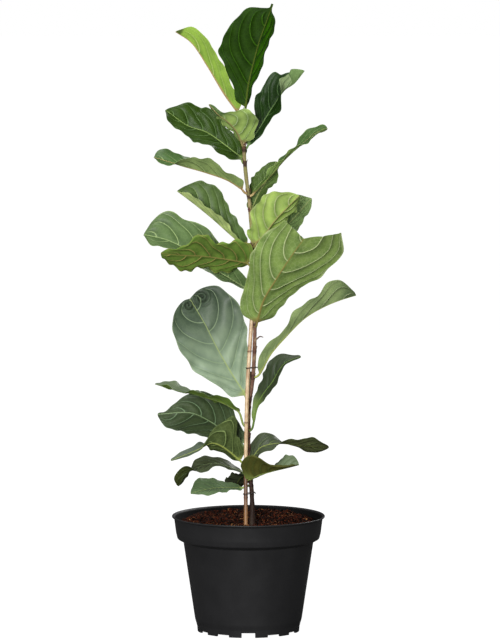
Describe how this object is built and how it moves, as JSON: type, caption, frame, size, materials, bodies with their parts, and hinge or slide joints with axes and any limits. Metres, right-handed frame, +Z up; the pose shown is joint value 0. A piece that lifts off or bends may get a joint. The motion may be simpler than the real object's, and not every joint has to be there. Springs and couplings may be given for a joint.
{
  "type": "potted plant",
  "caption": "Upright potted foliage plant with a thin stem tied to a cane, large fiddle-shaped leaves up its length, and a round tapered nursery pot full of soil.",
  "frame": {"origin": "on the surface that the pot stands on, on the pot's axis", "axes": "+Z up, +X to the viewer's right in the picture, +Y away from the viewer"},
  "size_m": [0.3342, 0.24, 0.9854],
  "materials": {
    "pot": "satin near-black moulded plastic",
    "soil": "matte dark brown potting mix of peat, coir and bark",
    "bark": "matte brown young bark",
    "bamboo": "satin pale tan bamboo",
    "tie": "matte dark brown covered wire",
    "leaf": "satin dark green, with paler veins and a matte grey-green underside",
    "leaf_young": "satin yellow-green young leaf"
  },
  "bodies": {
    "root": {"pot": "pot", "soil": "soil", "stem": "bark", "cane": "bamboo", "tie_lower": "tie", "tie_upper": "tie", "leaf_01": "leaf", "leaf_02": "leaf_young", "leaf_03": "leaf", "leaf_04": "leaf_young", "leaf_05": "leaf", "leaf_06": "leaf", "leaf_07": "leaf", "leaf_08": "leaf", "leaf_09": "leaf", "leaf_10": "leaf_young", "leaf_11": "leaf", "leaf_12": "leaf", "leaf_13": "leaf", "leaf_14": "leaf", "leaf_15": "leaf", "leaf_16": "leaf", "leaf_17": "leaf", "leaf_18": "leaf", "leaf_19": "leaf", "leaf_20": "leaf", "leaf_21": "leaf", "leaf_22": "leaf", "leaf_23": "leaf", "leaf_24": "leaf", "leaf_25": "leaf"}
  },
  "joints": []
}
